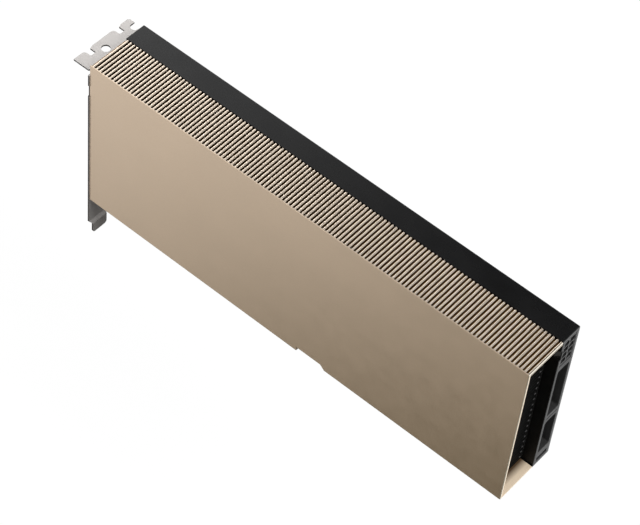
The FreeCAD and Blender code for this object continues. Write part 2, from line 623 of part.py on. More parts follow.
def vents():
    """Hexagonal vents in staggered columns, over the part of the plate that the duct fills."""
    pitch = VENT_FLATS + VENT_WEB
    column_step = pitch * math.cos(math.radians(30))
    radius = VENT_FLATS / 2 / math.cos(math.radians(30))
    ys = (Y0 + VENT_MARGIN_SIDE + radius, BOARD_FRONT - SHEET - VENT_MARGIN_SIDE - radius)
    zs = (Z0 + VENT_MARGIN_END, SHEET - VENT_MARGIN_END)
    columns = int((ys[1] - ys[0]) / column_step) + 1
    rows = int((zs[1] - zs[0] - pitch / 2) / pitch)
    holes = []
    for column in range(columns):
        y = ys[0] + column_step * column
        for row in range(rows):
            z = zs[0] + pitch * (row + 0.5 + (column % 2) / 2)
            corners = [(y + radius * math.cos(math.radians(60 * k)), z + radius * math.sin(math.radians(60 * k)))
                       for k in range(6)]
            holes.append(prism("x", corners, HOLE_TO_FACE - SHEET, X0 + SHEET))
    return holes


def lug(z):
    """Ear bent in from the face plate, which lies on the board's front."""
    zs = around(z, LUG_WIDTH)
    ear = block((HOLE_TO_FACE, X0 + LUG_LENGTH), (BOARD_FRONT - SHEET, BOARD_FRONT), zs)
    hole = rod("y", BRACKET_SCREW_RADIUS + CLEARANCE / 2, X0 + LUG_HOLE_FROM_PLATE, z,
               BOARD_FRONT - 2 * SHEET, BOARD_FRONT + SHEET)
    return ear.cut(hole)


def io_bracket():
    centre = (BEND_X, -BEND_INSIDE)
    tab = prism("z", tab_outline(), 0, SHEET)
    plate = plate_sheet().common(prism("x", plate_outline(), HOLE_TO_FACE, X0 + TONGUE_STEP))
    bend = prism("y", [
        (X0, -BEND_INSIDE), arc(centre, BEND_INSIDE + SHEET, 0, 90), (BEND_X, 0),
        arc(centre, BEND_INSIDE, 90, 0),
    ], BEND_Y0, BEND_Y1)
    body = joined([tab, plate, bend] + [lug(z) for z in LUG_ZS])
    hole = rod("z", TAB_HOLE_RADIUS, 0, 0, -SHEET, 2 * SHEET)
    return body.cut(vents() + [hole])


# Circuit board

def board_outline():
    half_key = KEY_WIDTH / 2
    key_top = EDGE_Z + KEY_DEPTH - half_key
    apron_x0 = EDGE_X0 - APRON_BEFORE_EDGE
    over_relief = Z0 + RELIEF_DEPTH + COVER_WALL + BOARD_MARGIN
    after_relief = RELIEF_X1 + COVER_WALL + BOARD_MARGIN
    hook_z = APRON_Z - HOOK_DROP
    barb_z = APRON_Z - HOOK_DROP / 2
    return [
        (BOARD_X0, BOARD_Z0), (apron_x0, BOARD_Z0), (apron_x0, APRON_Z), (EDGE_X0, APRON_Z),
        (EDGE_X0, EDGE_Z + EDGE_CHAMFER), (EDGE_X0 + EDGE_CHAMFER, EDGE_Z),
        (KEY_X - half_key, EDGE_Z), (KEY_X - half_key, key_top),
        arc((KEY_X, key_top), half_key, 180, 0), (KEY_X + half_key, EDGE_Z),
        (EDGE_X1 - EDGE_CHAMFER, EDGE_Z), (EDGE_X1, EDGE_Z + EDGE_CHAMFER),
        (EDGE_X1, APRON_Z), (HOOK_X0, APRON_Z), (HOOK_X0, barb_z + HOOK_BARB),
        (HOOK_X0 - HOOK_BARB, barb_z), (HOOK_X0 - HOOK_BARB, hook_z + HOOK_BARB), (HOOK_X0, hook_z),
        (HOOK_X1 - HOOK_BARB, hook_z), (HOOK_X1, hook_z + HOOK_BARB), (HOOK_X1, over_relief),
        (after_relief, over_relief), (after_relief, BOARD_Z0),
        (BOARD_X1, BOARD_Z0), (BOARD_X1, BOARD_Z1), (BOARD_X0, BOARD_Z1),
    ]


def edge_bevels():
    """Wedges that thin the edge tongue's lower edge on both faces."""
    wedges = []
    for face, inward in ((BOARD_FRONT, EDGE_BEVEL), (BOARD_BACK, -EDGE_BEVEL)):
        outline = [(face - inward, EDGE_Z - EDGE_BEVEL), (face + inward, EDGE_Z),
                   (face, EDGE_Z + EDGE_BEVEL * 2), (face - inward, EDGE_Z + EDGE_BEVEL * 2)]
        wedges.append(prism("x", outline, EDGE_X0 - CLEARANCE, EDGE_X1 + CLEARANCE))
    return wedges


def circuit_board():
    board = prism("y", board_outline(), BOARD_FRONT, BOARD_BACK)
    span = (BOARD_FRONT - CLEARANCE, BOARD_BACK + CLEARANCE)
    holes = [rod("y", BACK_SCREW_RADIUS + HOLE_CLEARANCE, x, z, *span)
             for x in BACK_SCREW_XS for z in BACK_SCREW_ZS]
    holes += [rod("y", SPRING_SCREW_RADIUS + HOLE_CLEARANCE, x, z, *span) for x, z in spring_screw_places()]
    holes += [rod("y", BRACKET_SCREW_RADIUS + HOLE_CLEARANCE, X0 + LUG_HOLE_FROM_PLATE, z, *span)
              for z in LUG_ZS]
    holes += [rod("y", PIN_HOLE_RADIUS, x, z, *span) for x in TAIL_XS for z in SOCKET_ZS]
    return board.cut(holes + edge_bevels())


def edge_contacts():
    starts = [KEY_X - KEY_WIDTH / 2 - CONTACT_PITCH * (k + 0.5) for k in range(CONTACTS_BEFORE_KEY)]
    starts += [KEY_X + KEY_WIDTH / 2 + CONTACT_PITCH * (k + 0.5) for k in range(CONTACTS_AFTER_KEY)]
    low = EDGE_Z + EDGE_BEVEL * 2 + CONTACT_RISE
    pads = []
    for x in starts:
        for ys in ((BOARD_FRONT - CONTACT_THICKNESS, BOARD_FRONT), (BOARD_BACK, BOARD_BACK + CONTACT_THICKNESS)):
            pads.append(block(around(x, CONTACT_WIDTH), ys, (low, low + CONTACT_LENGTH)))
    return Part.makeCompound(pads)


def chips(places, width, height, y0, y1):
    """Equal rectangular packages at (x, z) places, between two distances from the front."""
    return Part.makeCompound([block(around(x, width), (y0, y1), around(z, height)) for x, z in places])


def memory_places():
    return [(x + side * MEMORY_SIDE, PROCESSOR_Z + up * MEMORY_RISE)
            for x in PROCESSOR_XS for side in (-1, 1) for up in (-1, 1)]


def stage_places():
    return [(x + STAGE_OFFSET, z) for x in PROCESSOR_XS for z in STAGE_ZS]


def choke_places():
    return [(x + CHOKE_OFFSET, z) for x in PROCESSOR_XS for z in STAGE_ZS]


def spring_screw_places():
    return [(x + side * SPRING_POST_SIDE, PROCESSOR_Z + up * SPRING_POST_RISE)
            for x in PROCESSOR_XS for side in (-1, 1) for up in (-1, 1)]


def back_screw_places():
    return [(x, z) for x in BACK_SCREW_XS for z in BACK_SCREW_ZS] + [(FRAME_SCREW_X, z) for z in FRAME_SCREW_ZS]


def processor_substrates():
    places = [(x, PROCESSOR_Z) for x in PROCESSOR_XS]
    return chips(places, SUBSTRATE_SIZE, SUBSTRATE_SIZE, BOARD_FRONT - SUBSTRATE_THICKNESS, BOARD_FRONT)


def processor_dies():
    places = [(x, PROCESSOR_Z) for x in PROCESSOR_XS]
    return chips(places, DIE_LENGTH, DIE_WIDTH, LAND_FACE, LAND_FACE + DIE_THICKNESS)


def memory_chips():
    return chips(memory_places(), MEMORY_WIDTH, MEMORY_HEIGHT, BOARD_FRONT - MEMORY_THICKNESS, BOARD_FRONT)


def memory_pads():
    return chips(memory_places(), MEMORY_WIDTH, MEMORY_HEIGHT, LAND_FACE, BOARD_FRONT - MEMORY_THICKNESS)


def power_stages():
    return chips(stage_places(), STAGE_SIZE, STAGE_SIZE, BOARD_FRONT - STAGE_THICKNESS, BOARD_FRONT)


def stage_pads():
    top = BOARD_FRONT - STAGE_THICKNESS
    return chips(stage_places(), STAGE_SIZE, STAGE_SIZE, top - PAD_THICKNESS, top)


def chokes():
    return chips(choke_places(), CHOKE_SIZE, CHOKE_SIZE, BOARD_FRONT - CHOKE_THICKNESS, BOARD_FRONT)


def choke_pads():
    return chips(choke_places(), CHOKE_SIZE, CHOKE_SIZE, BASE_BACK, BOARD_FRONT - CHOKE_THICKNESS)


def bridge_chip():
    places = [(BRIDGE_X, BRIDGE_Z)]
    return chips(places, BRIDGE_SIZE, BRIDGE_SIZE, BOARD_FRONT - BRIDGE_THICKNESS, BOARD_FRONT)


def bridge_pad():
    top = BOARD_FRONT - BRIDGE_THICKNESS
    return chips([(BRIDGE_X, BRIDGE_Z)], BRIDGE_SIZE, BRIDGE_SIZE, top - PAD_THICKNESS, top)


def capacitors():
    cans = [rod("y", CAN_RADIUS, x + CHOKE_OFFSET, z, BOARD_FRONT, BOARD_FRONT - CAN_HEIGHT)
            for x in PROCESSOR_XS for z in CAN_ZS]
    return Part.makeCompound(cans)


# Heat sink

def heatsink_base():
    plate = block((BASE_X0, BASE_X1), (BASE_FRONT, BASE_BACK), (BASE_Z0, BASE_Z1))
    lands = [block(around(x, LAND_WIDTH), (BASE_FRONT, LAND_FACE), around(PROCESSOR_Z, LAND_HEIGHT))
             for x in PROCESSOR_XS]
    stage_face = BOARD_FRONT - STAGE_THICKNESS - PAD_THICKNESS
    stage_span = (STAGE_ZS[0] - STAGE_SIZE / 2, STAGE_ZS[-1] + STAGE_SIZE / 2)
    lands += [block(around(x + STAGE_OFFSET, STAGE_SIZE), (BASE_FRONT, stage_face), stage_span)
              for x in PROCESSOR_XS]
    bridge_face = BOARD_FRONT - BRIDGE_THICKNESS - PAD_THICKNESS
    lands.append(block(around(BRIDGE_X, BRIDGE_SIZE), (BASE_FRONT, bridge_face), around(BRIDGE_Z, BRIDGE_SIZE)))
    posts = [rod("y", POST_RADIUS, x, z, BASE_FRONT, BOARD_FRONT)
             for x, z in spring_screw_places() + base_screw_places()]
    holes = [rod("y", SPRING_SCREW_RADIUS + CLEARANCE / 2, x, z, BOARD_FRONT, BOARD_FRONT - SPRING_SCREW_GRIP)
             for x, z in spring_screw_places()]
    holes += [rod("y", BACK_SCREW_RADIUS + CLEARANCE / 2, x, z, BOARD_FRONT, BOARD_FRONT - BACK_SCREW_GRIP)
              for x, z in base_screw_places()]
    return joined([plate] + lands + posts).cut(holes)


def base_screw_places():
    return [(x, z) for x in BACK_SCREW_XS for z in BACK_SCREW_ZS]


def fin_stack():
    xs = (X0 + BASE_START, X1 - FIN_INLET)
    tips = Y0 + COVER_WALL + FIN_TIP_GAP
    zs = (Z0 + COVER_WALL + FIN_MARGIN, Z1 - RIBBED_WALL - FIN_MARGIN / 2)
    count = int((zs[1] - zs[0] - FIN_THICKNESS) / FIN_PITCH) + 1
    outline = [(BASE_FRONT - FIN_SOLE, zs[0])]
    for k in range(count):
        z = zs[0] + FIN_PITCH * k
        if k:
            outline.append((BASE_FRONT - FIN_SOLE, z))
        outline += [(tips, z), (tips, z + FIN_THICKNESS), (BASE_FRONT - FIN_SOLE, z + FIN_THICKNESS)]
    outline += [(BASE_FRONT, zs[0] + FIN_PITCH * (count - 1) + FIN_THICKNESS), (BASE_FRONT, zs[0])]
    stack = prism("x", outline, *xs)
    relief = prism("y", relief_outline(COVER_WALL + FIN_RELIEF_GAP, Z0), Y0, Y_COVER + BASE_THICKNESS)
    return stack.cut(relief)


# Springs, film and fasteners

def countersink(axis, a, b, start, way, radius, head, depth):
    """Hole with a cone for a flat screw head, cut from a face into the wall."""
    cone = head - radius
    profile = [(0, -CLEARANCE), (head + CLEARANCE, -CLEARANCE), (head + CLEARANCE, 0),
               (radius + CLEARANCE, cone), (radius + CLEARANCE, depth), (0, depth)]
    return turned(axis, profile, a, b, start, way)


def countersunk_screw(axis, a, b, start, way, radius, head, length):
    cone = head - radius
    return turned(axis, [(0, 0), (head, 0), (radius, cone), (radius, length), (0, length)], a, b, start, way)


def pan_screw(a, b, start, radius, head, head_height, length):
    """Flat-headed screw driven from the back, its head standing on a face."""
    profile = [(0, -head_height), (head, -head_height), (head, 0), (radius, 0), (radius, length), (0, length)]
    return turned("y", profile, a, b, start, -1)


def back_cover_screws():
    length = Y1 - BOARD_FRONT + BACK_SCREW_GRIP - CLEARANCE
    return Part.makeCompound([
        countersunk_screw("y", x, z, Y1, -1, BACK_SCREW_RADIUS, BACK_SCREW_HEAD, length)
        for x, z in base_screw_places()])


def frame_screws():
    length = Y1 - FRAME_Y1 + BACK_SCREW_GRIP - CLEARANCE
    return Part.makeCompound([
        countersunk_screw("y", FRAME_SCREW_X, z, Y1, -1, BACK_SCREW_RADIUS, BACK_SCREW_HEAD, length)
        for z in FRAME_SCREW_ZS])


def cover_screws():
    length = BACK_WALL + CLEARANCE + SKIRT_THICKNESS
    return Part.makeCompound([
        countersunk_screw("z", x, COVER_SCREW_Y, Z0, 1, COVER_SCREW_RADIUS, COVER_SCREW_HEAD, length)
        for x in COVER_SCREW_XS])


def bracket_screws():
    length = BOARD_THICKNESS + SHEET
    return Part.makeCompound([
        pan_screw(X0 + LUG_HOLE_FROM_PLATE, z, BOARD_BACK, BRACKET_SCREW_RADIUS, BRACKET_SCREW_HEAD,
                  FLAT_HEAD, length) for z in LUG_ZS])


def spring_screws():
    seat = BOARD_BACK + SPRING_THICKNESS
    length = seat - BOARD_FRONT + SPRING_SCREW_GRIP - CLEARANCE
    return Part.makeCompound([
        pan_screw(x, z, seat, SPRING_SCREW_RADIUS, SPRING_SCREW_HEAD, FLAT_HEAD, length)
        for x, z in spring_screw_places()])


def leaf_spring(x):
    """Cross-shaped spring behind a processor, held at the ends of its arms."""
    reach = math.hypot(SPRING_POST_SIDE, SPRING_POST_RISE)
    slope = math.degrees(math.atan2(SPRING_POST_RISE, SPRING_POST_SIDE))
    ys = (BOARD_BACK, BOARD_BACK + SPRING_THICKNESS)
    arms = []
    for turn in (slope, -slope):
        arm = prism("y", rounded_rectangle((-reach - SPRING_ARM / 2, reach + SPRING_ARM / 2),
                                           (-SPRING_ARM / 2, SPRING_ARM / 2), SPRING_ARM * 0.45), *ys)
        arm.rotate(FreeCAD.Vector(0, 0, 0), FreeCAD.Vector(0, 1, 0), turn)
        arm.translate(FreeCAD.Vector(x, 0, PROCESSOR_Z))
        arms.append(arm)
    centre = rod("y", SPRING_CENTRE, x, PROCESSOR_Z, *ys)
    holes = [rod("y", SPRING_SCREW_RADIUS + HOLE_CLEARANCE, x + side * SPRING_POST_SIDE,
                 PROCESSOR_Z + up * SPRING_POST_RISE, ys[0] - CLEARANCE, ys[1] + CLEARANCE)
             for side in (-1, 1) for up in (-1, 1)]
    return joined(arms + [centre]).cut(holes)


def leaf_springs():
    return Part.makeCompound([leaf_spring(x) for x in PROCESSOR_XS])


def insulating_sheet():
    over_relief = Z0 + RELIEF_DEPTH + FILM_MARGIN
    film = block((BOARD_X0 + FILM_MARGIN, BOARD_X1 - FILM_MARGIN), (Y_BACK_IN - SHEET_FILM, Y_BACK_IN),
                 (over_relief, BOARD_Z1 - FILM_MARGIN))
    holes = [rod("y", BOSS_RADIUS + HOLE_CLEARANCE, x, z, BOARD_BACK, Y1) for x, z in base_screw_places()]
    pin_window = block((TAIL_XS[0] - 2 * PIN_SIZE, BOARD_X1), (BOARD_BACK, Y1),
                       (SOCKET_ZS[0] - 2 * PIN_SIZE, SOCKET_ZS[-1] + 2 * PIN_SIZE))
    return film.cut(holes + [pin_window])


NODES = [
    front_cover, back_cover, rear_frame, power_header, header_pins, io_bracket,
    circuit_board, edge_contacts, processor_substrates, processor_dies, memory_chips, memory_pads,
    power_stages, stage_pads, chokes, choke_pads, capacitors, bridge_chip, bridge_pad,
    heatsink_base, fin_stack, leaf_springs, insulating_sheet,
    back_cover_screws, frame_screws, cover_screws, bracket_screws, spring_screws,
]

os.makedirs("parts", exist_ok=True)
for node in NODES:
    node().exportStep("parts/" + node.__name__ + ".step")
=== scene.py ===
import bmesh
import bpy
import json
import math
import random
from mathutils import Matrix, Vector


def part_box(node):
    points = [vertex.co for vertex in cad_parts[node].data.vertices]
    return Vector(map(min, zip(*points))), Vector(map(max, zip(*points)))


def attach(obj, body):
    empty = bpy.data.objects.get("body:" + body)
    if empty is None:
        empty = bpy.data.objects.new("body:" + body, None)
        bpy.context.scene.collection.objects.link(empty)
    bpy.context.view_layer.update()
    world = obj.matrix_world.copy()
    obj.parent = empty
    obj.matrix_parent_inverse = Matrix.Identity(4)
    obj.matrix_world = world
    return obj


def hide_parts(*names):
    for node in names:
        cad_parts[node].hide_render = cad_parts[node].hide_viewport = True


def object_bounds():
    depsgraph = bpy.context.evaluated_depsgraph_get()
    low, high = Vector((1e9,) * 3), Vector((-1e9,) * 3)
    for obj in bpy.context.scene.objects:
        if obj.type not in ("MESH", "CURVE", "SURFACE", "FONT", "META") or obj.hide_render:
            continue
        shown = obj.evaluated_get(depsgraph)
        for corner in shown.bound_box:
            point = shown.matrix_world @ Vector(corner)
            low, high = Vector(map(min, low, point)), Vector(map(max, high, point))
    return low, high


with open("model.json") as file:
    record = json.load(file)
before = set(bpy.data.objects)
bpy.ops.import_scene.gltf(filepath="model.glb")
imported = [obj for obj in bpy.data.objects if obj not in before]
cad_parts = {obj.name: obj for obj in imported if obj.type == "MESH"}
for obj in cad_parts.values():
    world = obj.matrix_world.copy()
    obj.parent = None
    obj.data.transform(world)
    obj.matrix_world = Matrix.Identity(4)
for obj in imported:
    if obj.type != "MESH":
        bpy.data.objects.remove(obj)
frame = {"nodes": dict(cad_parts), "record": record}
cad_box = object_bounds()
random.seed(7)

MM = 0.001
WELD_DISTANCE = 0.001 * MM
X, Y, Z = 0, 1, 2

# Camera of the photograph, in the row frame
IMAGE_WIDTH = 640
FOCAL_PIXELS = 2460.3
SENSOR = 36.0
CLIP_NEAR = 0.01
CLIP_FAR = 50
CAMERA_AT = Vector((0.56858, -0.60727, 0.87422))
CAMERA_RIGHT = Vector((0.75922, 0.64655, 0.07455))
CAMERA_DOWN = Vector((0.54099, -0.56326, -0.62455))
CAMERA_FORWARD = Vector((-0.36181, 0.51451, -0.77742))

# Colours of the covers, frame, header and film, as linear light
GOLD = (0.66, 0.525, 0.395)
# Rib tops, painted a lighter, whiter gold as a painted highlight
RIB_TOP_HIGHLIGHT = (0.64, 0.55, 0.45)
# Rim at the power end, painted near white as a painted highlight
RIM_HIGHLIGHT = (0.85, 0.80, 0.70)
DUCT_GOLD = (0.66, 0.54, 0.40)
# Near-black painted shade inside the duct, next to the fins
DUCT_PAINTED_SHADE = (0.075, 0.045, 0.022)
# Painted shade in the grooves: near black on the walls, a lighter brown on the floors
GROOVE_WALL_SHADE = (0.010, 0.005, 0.001)
GROOVE_FLOOR_SHADE = (0.17, 0.085, 0.02)
SATIN_BLACK = (0.002, 0.002, 0.0022)
FRAME_BLACK = (0.025, 0.025, 0.025)
# Rim of the frame at the power end, painted lighter as a painted highlight
FRAME_RIM_HIGHLIGHT = (0.055, 0.055, 0.055)
# Side of the frame towards the duct, painted near black as painted shade
DUCT_SIDE_SHADE = (0.002, 0.002, 0.002)
NYLON_BLACK = (0.012, 0.012, 0.012)
FILM_BLACK = (0.02, 0.02, 0.02)
FILM_DARK = (0.015, 0.015, 0.015)
FILM_LIGHT = (0.03, 0.03, 0.03)

# Colours of the fins, with painted highlights for their ends and folds
FIN_DARK = (0.001, 0.001, 0.001)
FIN_EDGE = (0.0006, 0.0006, 0.0006)
FIN_EDGE_HIGHLIGHT = (0.011, 0.011, 0.0105)
FOLD_GLINT = (0.07, 0.07, 0.07)

# Colours of the other metals
NICKEL = (0.46, 0.44, 0.425)
# Punched edges of the bracket, painted dark as a painted dark reflection
EDGE_DARK_REFLECTION = (0.04, 0.035, 0.033)
ALUMINIUM = (0.74, 0.73, 0.70)
# Heatsink base, aluminium painted near black as painted shade
SINK_SHADE = (0.012, 0.012, 0.013)
CONTACT_GOLD = (0.80, 0.56, 0.22)
TIN = (0.68, 0.67, 0.63)
STEEL = (0.50, 0.50, 0.50)
SCREW_BLACK = (0.03, 0.03, 0.032)

# Colours of what is on the board
BOARD_BLACK = (0.010, 0.014, 0.012)
SUBSTRATE_GREEN = (0.012, 0.045, 0.018)
PACKAGE_BLACK = (0.018, 0.018, 0.018)
CHOKE_GREY = (0.05, 0.05, 0.053)
PAD_GREY = (0.22, 0.24, 0.27)
DIE_GREY = (0.10, 0.105, 0.125)

# Colours of the studio
WHITE = (1, 1, 1)
FLOOR_WHITE = (0.95, 0.95, 0.95)
FLAG_WARM = (0.06, 0.045, 0.0)
FLAG_BLACK = (0.01, 0.01, 0.01)
FLAG_GREY = (0.03, 0.028, 0.026)

# Areas of the front cover, as distances inwards from its box
RIBS_FROM_FRONT = 0.35 * MM
RIBS_FROM_END = 0.38 * MM
RIB_TOP_DEPTH = 0.25 * MM
GROOVE_SHADE_START = 0.08 * MM
GROOVE_SHADE_FULL = 0.4 * MM
GROOVE_FLOOR_DEPTH = 1.15 * MM
TOP_AREA_DEPTH = 1.5 * MM
# Depth of the painted highlight on the rim at the power end
RIM_HIGHLIGHT_DEPTH = 0.28 * MM
# Where the painted shade on the lower part of the end lip lies
LIP_FROM_FRONT = 1.25 * MM
LIP_SHADE_START = 0.9 * MM
LIP_SHADE_END = 1.9 * MM
DUCT_WALL = 0.5 * MM
DUCT_SHADE_START = 2.6 * MM
DUCT_SHADE_FULL = 6.3 * MM

# Areas of the end frame, as distances inwards from its box
FRAME_RIM_DEPTH = 0.3 * MM
FRAME_DUCT_SIDE = 1.55 * MM

# Bracket: where its tab ends and its plate starts, and how far below the tab the plate's own edges are
BRACKET_BEND = 4.8 * MM
PLATE_EDGE_DROP = 1.0 * MM

# Fins, as the row has them
FIN_PITCH = 1.43 * MM
FIN_THICKNESS = 0.4 * MM

# Lighter areas of the fins' ends, which are painted highlights. The last two are shares of the pattern's
# pitch
FIN_END_DEPTH = 0.1 * MM
FIN_FOOT = 1.0 * MM
FOLD_LIGHT_START = 0.04
FIN_BORDER = 0.01

# Copper areas of the board, in cells per metre
COPPER_CELLS = 260.0

# Folded tabs of the fins, whose outline is in shares of the gap and of the reach
FOLD_EVERY = 3
FOLD_REACH = 0.9 * MM
FOLD_WIDTH = 1.1 * MM
FOLD_FROM_BASE = 2.6 * MM
FOLD_FROM_TIPS = 5.0 * MM
FOLD_SHOULDER = 0.48
FOLD_TOP_START = 0.28
FOLD_TOP_END = 0.72

# Screws
SCREW_SEGMENTS = 48
SCREW_SMOOTH_ANGLE = 35
RECESS_LOBES = 6
RECESS_WAIST = 0.72
FLAT_HEAD_EDGE = 0.06 * MM
FLAT_HEAD_LAND = 0.012 * MM
PAN_HEAD_HEIGHT = 0.75 * MM
PAN_HEAD_RIM = 0.35 * MM
PAN_HEAD_STEPS = 4

# Small resistors and capacitors on the board
PASSIVE_SIZE = Vector((1.6, 0.5, 0.8)) * MM
PASSIVE_BODY_LENGTH = 0.62
PASSIVE_BODY_WIDTH = 0.96
PASSIVE_CAP_LENGTH = 0.2
PASSIVE_CHAMFER = 0.04 * MM
PASSIVE_PITCH_X = 3.4 * MM
PASSIVE_PITCH_Z = 3.1 * MM
PASSIVE_SHARE = 0.45
CHIP_CLEARANCE = 0.9 * MM
SCREW_CLEARANCE = 3 * MM
ROWS_FROM_BRACKET = 14 * MM
ROWS_FROM_END = 2.5 * MM
ROWS_FROM_BOTTOM = 20 * MM
ROWS_FROM_TOP = 5 * MM

# Studio
FLOOR_HALF_WIDTH = 6.0
FLOOR_MIDDLE_X = 0.13
FLOOR_DROP = 0.22
FLOOR_GLOW_SHARE = 0.93
WORLD_LIGHT = 0.45
WORLD_SEEN = 1.0


# Materials

class Surface:
    """A material while it is made: its nodes, its links and its main shader."""

    def __init__(self, name, colour, roughness, metallic=0.0, specular=0.5):
        self.material = bpy.data.materials.new(name)
        self.material.use_nodes = True
        self.nodes = self.material.node_tree.nodes
        self.links = self.material.node_tree.links
        self.shader = self.nodes["Principled BSDF"]
        self.shader.inputs["Base Color"].default_value = (*colour, 1)
        self.shader.inputs["Roughness"].default_value = roughness
        self.shader.inputs["Metallic"].default_value = metallic
        self.shader.inputs["Specular IOR Level"].default_value = specular
        coordinates = self.nodes.new("ShaderNodeTexCoord")
        self.coordinates = coordinates.outputs["Object"]
        self.normal = coordinates.outputs["Normal"]

    def node(self, kind, inputs, **settings):
        """Add a node. An input is a number, a colour or another node's output."""
        made = self.nodes.new("ShaderNode" + kind)
        for name, value in settings.items():
            setattr(made, name, value)
        for name, value in inputs.items():
            if isinstance(value, bpy.types.NodeSocket):
                self.links.new(value, made.inputs[name])
            else:
                made.inputs[name].default_value = value
        return made

    def noise(self, size, detail=4.0, stretch=(1, 1, 1)):
        """Noise whose grain is about size millimetres across, from 0 to 1."""
        place = self.node("Mapping", {"Vector": self.coordinates, "Scale": stretch})
        inputs = {"Vector": place.outputs[0], "Scale": 1 / (size * MM), "Detail": detail}
        return self.node("TexNoise", inputs).outputs[0]

    def spread(self, factor, low, high, start=0.3, end=0.7):
        """Map a factor between start and end onto a span of values."""
        inputs = {"Value": factor, "From Min": start, "From Max": end, "To Min": low, "To Max": high}
        return self.node("MapRange", inputs).outputs[0]

    def along(self, axis):
        """One coordinate of the surface point, in metres."""
        return self.node("SeparateXYZ", {0: self.coordinates}).outputs[axis]

    def facing(self, axis):
        """Square of one part of the surface's own direction: 1 where it faces along the axis."""
        part = self.node("SeparateXYZ", {0: self.normal}).outputs[axis]
        return self.times(part, part)

    def times(self, first, second):
        return self.node("Math", {0: first, 1: second}, operation="MULTIPLY").outputs[0]

    def minus(self, first, second):
        return self.node("Math", {0: first, 1: second}, operation="SUBTRACT").outputs[0]

    def fraction(self, value):
        """What is left of a value over its whole number."""
        return self.node("Math", {0: value}, operation="FRACT").outputs[0]

    def either(self, first, second):
        """Sum of two factors, kept from 0 to 1."""
        return self.node("Math", {0: first, 1: second}, operation="ADD", use_clamp=True).outputs[0]

    def above(self, axis, value, soft=0.05):
        """1 over a value in metres along an axis, and 0 under it. Soft is in millimetres."""
        return self.spread(self.along(axis), 0, 1, value - soft * MM, value + soft * MM)

    def below(self, axis, value, soft=0.05):
        """1 under a value in metres along an axis, and 0 over it."""
        return self.spread(self.along(axis), 1, 0, value - soft * MM, value + soft * MM)

    def blend(self, factor, first, second):
        """Mix two colours."""
        made = self.nodes.new("ShaderNodeMix")
        made.data_type = "RGBA"
        for socket, value in ((made.inputs[0], factor), (made.inputs[6], first), (made.inputs[7], second)):
            if isinstance(value, bpy.types.NodeSocket):
                self.links.new(value, socket)
            else:
                socket.default_value = (*value, 1) if isinstance(value, tuple) else value
        return made.outputs[2]

    def feed(self, name, value):
        """Link a value to an input of the main shader."""
        self.links.new(value, self.shader.inputs[name])

    def paint(self, colour):
        self.feed("Base Color", colour)

    def roughen(self, value):
        self.feed("Roughness", value)

    def relief(self, height, depth):
        """Bump by a height from 0 to 1, to a depth in millimetres."""
        inputs = {"Height": height, "Distance": depth * MM, "Strength": 1.0}
        self.feed("Normal", self.node("Bump", inputs).outputs[0])

    def show_mix(self, share, first, colour):
        """Show a glow of a colour over the first shader, by a share from 0 to 1."""
        glow = self.node("Emission", {"Color": (*colour, 1), "Strength": 1.0})
        mix = self.node("MixShader", {0: share, 1: first, 2: glow.outputs[0]})
        self.links.new(mix.outputs[0], self.nodes["Material Output"].inputs[0])


def scaled(colour, factor):
    return tuple(min(1.0, part * factor) for part in colour)


